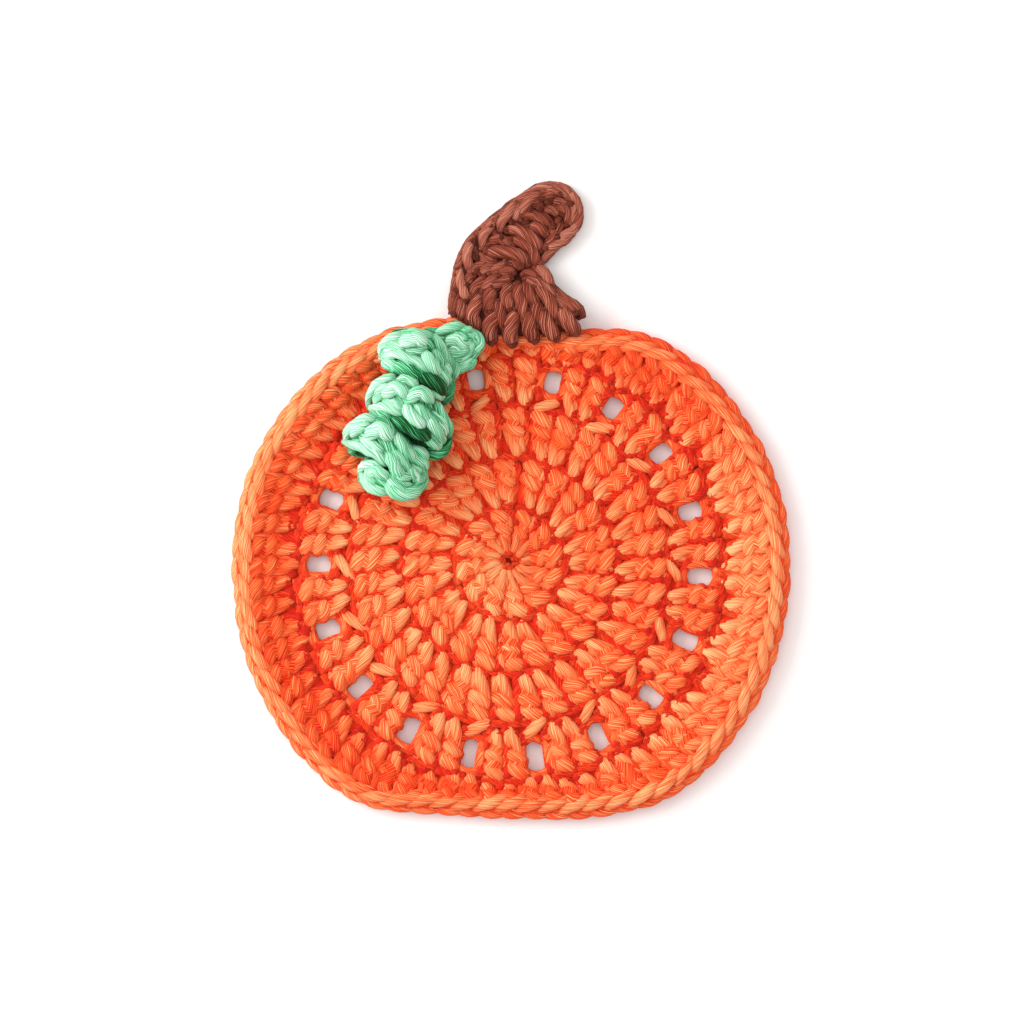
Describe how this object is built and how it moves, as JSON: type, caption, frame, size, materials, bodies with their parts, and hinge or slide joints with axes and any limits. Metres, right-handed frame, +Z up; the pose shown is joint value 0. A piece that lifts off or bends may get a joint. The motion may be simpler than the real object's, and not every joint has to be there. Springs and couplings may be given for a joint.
{
  "type": "crochet coaster with stem and tendril",
  "caption": "Round crocheted cotton coaster in pumpkin form, with a ring of eyelets, a chain rim, a sewn-on stem and a corkscrew tendril. Keeps a cup off the table.",
  "frame": {"origin": "middle of the coaster's box, on the table", "axes": "+Z up out of the face, +Y from the mat towards the tip of the stem, +X to the right as the face is seen"},
  "size_m": [0.1244, 0.1426, 0.0186],
  "materials": {
    "orange_cotton": "soft twisted cotton yarn, crocheted, orange, slight sheen",
    "brown_cotton": "soft twisted cotton yarn, crocheted, reddish brown, slight sheen",
    "green_cotton": "soft twisted cotton yarn, crocheted, mint green, slight sheen"
  },
  "bodies": {
    "root": {"body": "orange_cotton", "stem": "brown_cotton", "tendril": "green_cotton"}
  },
  "joints": []
}
